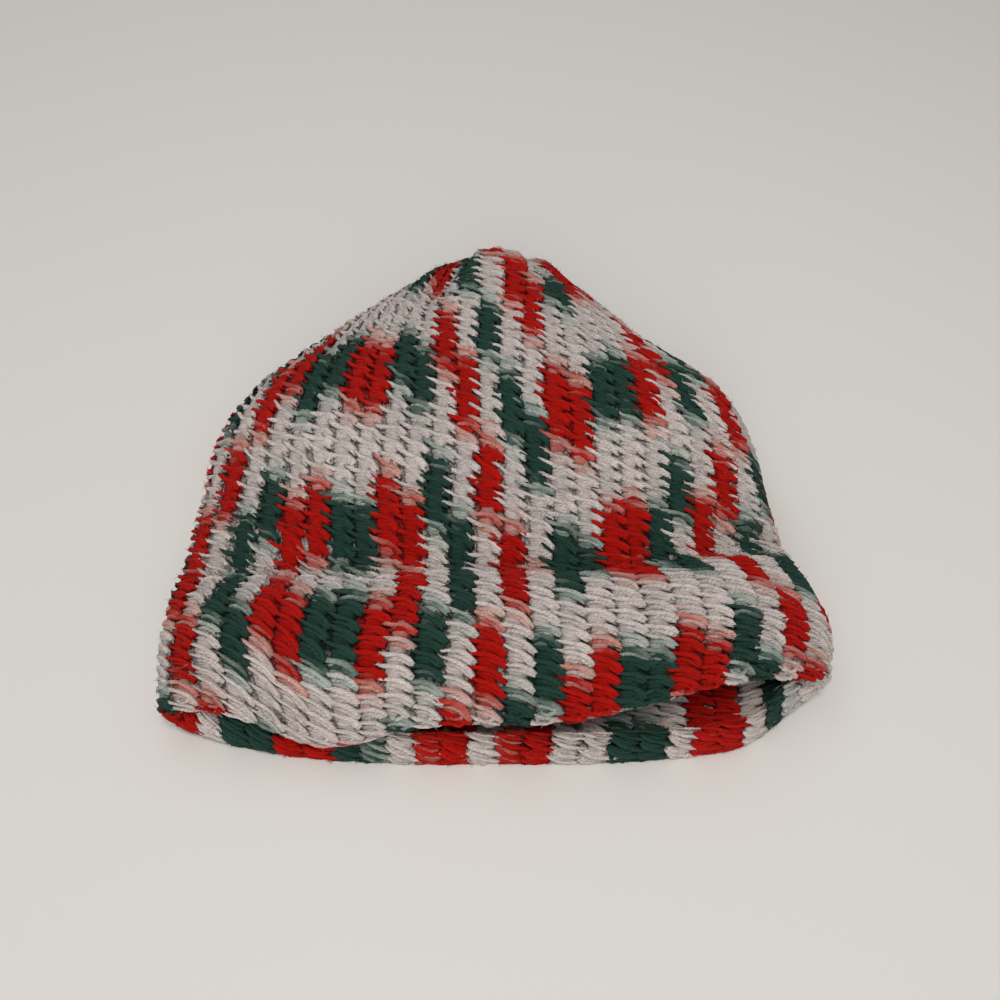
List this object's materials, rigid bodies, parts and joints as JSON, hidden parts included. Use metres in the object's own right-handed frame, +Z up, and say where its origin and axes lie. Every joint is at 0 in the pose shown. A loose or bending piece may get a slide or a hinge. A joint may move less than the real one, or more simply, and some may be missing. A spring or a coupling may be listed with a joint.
{
  "type": "crochet beanie",
  "caption": "Slouched crocheted beanie lying flat on its back layer: ribs run from a scalloped rim to a gathered crown, mouth open in front.",
  "frame": {"origin": "on the surface the hat lies on, under the middle of its bounding box", "axes": "+Z up from the surface, +Y from the open mouth towards the gathered crown, +X to the right when looking into the crown from the mouth"},
  "size_m": [0.2506, 0.2422, 0.0477],
  "materials": {
    "yarn": "matte worsted yarn dyed in stretches of red, white and green"
  },
  "bodies": {
    "root": {"crochet_shell": "yarn"}
  },
  "joints": []
}
